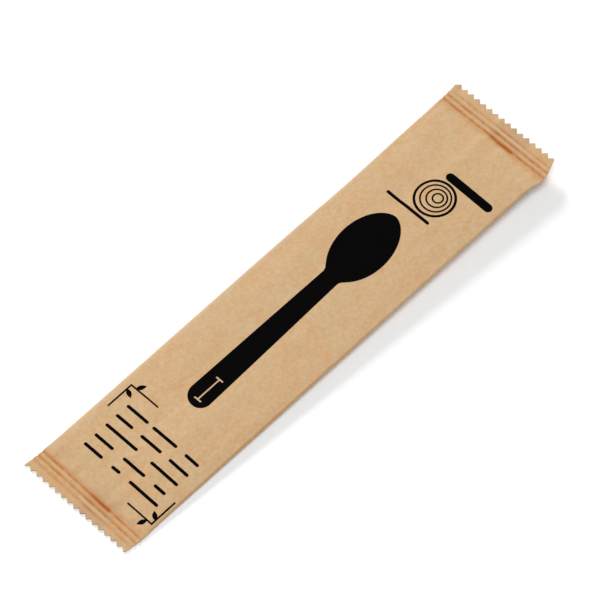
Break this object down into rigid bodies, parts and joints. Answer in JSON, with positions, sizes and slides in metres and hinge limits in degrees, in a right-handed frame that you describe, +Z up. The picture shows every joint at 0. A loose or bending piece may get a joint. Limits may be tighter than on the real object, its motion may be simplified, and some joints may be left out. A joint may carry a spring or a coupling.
{
  "type": "paper-wrapped wooden spoon",
  "caption": "Wooden spoon sealed in a flat kraft paper sachet with crimped zigzag ends, a folded back seam and a black spoon silhouette printed on the front.",
  "frame": {"origin": "on the table, under the middle of the sachet's outline", "axes": "+X along the sachet from the spoon's handle end to its bowl end, +Y across it, +Z up out of the printed front"},
  "size_m": [0.202, 0.0456, 0.0059],
  "materials": {
    "kraft_paper": "matt brown kraft paper",
    "black_ink": "matt black ink printed on the paper"
  },
  "bodies": {
    "root": {"spoon_sachet": "kraft_paper"}
  },
  "joints": []
}
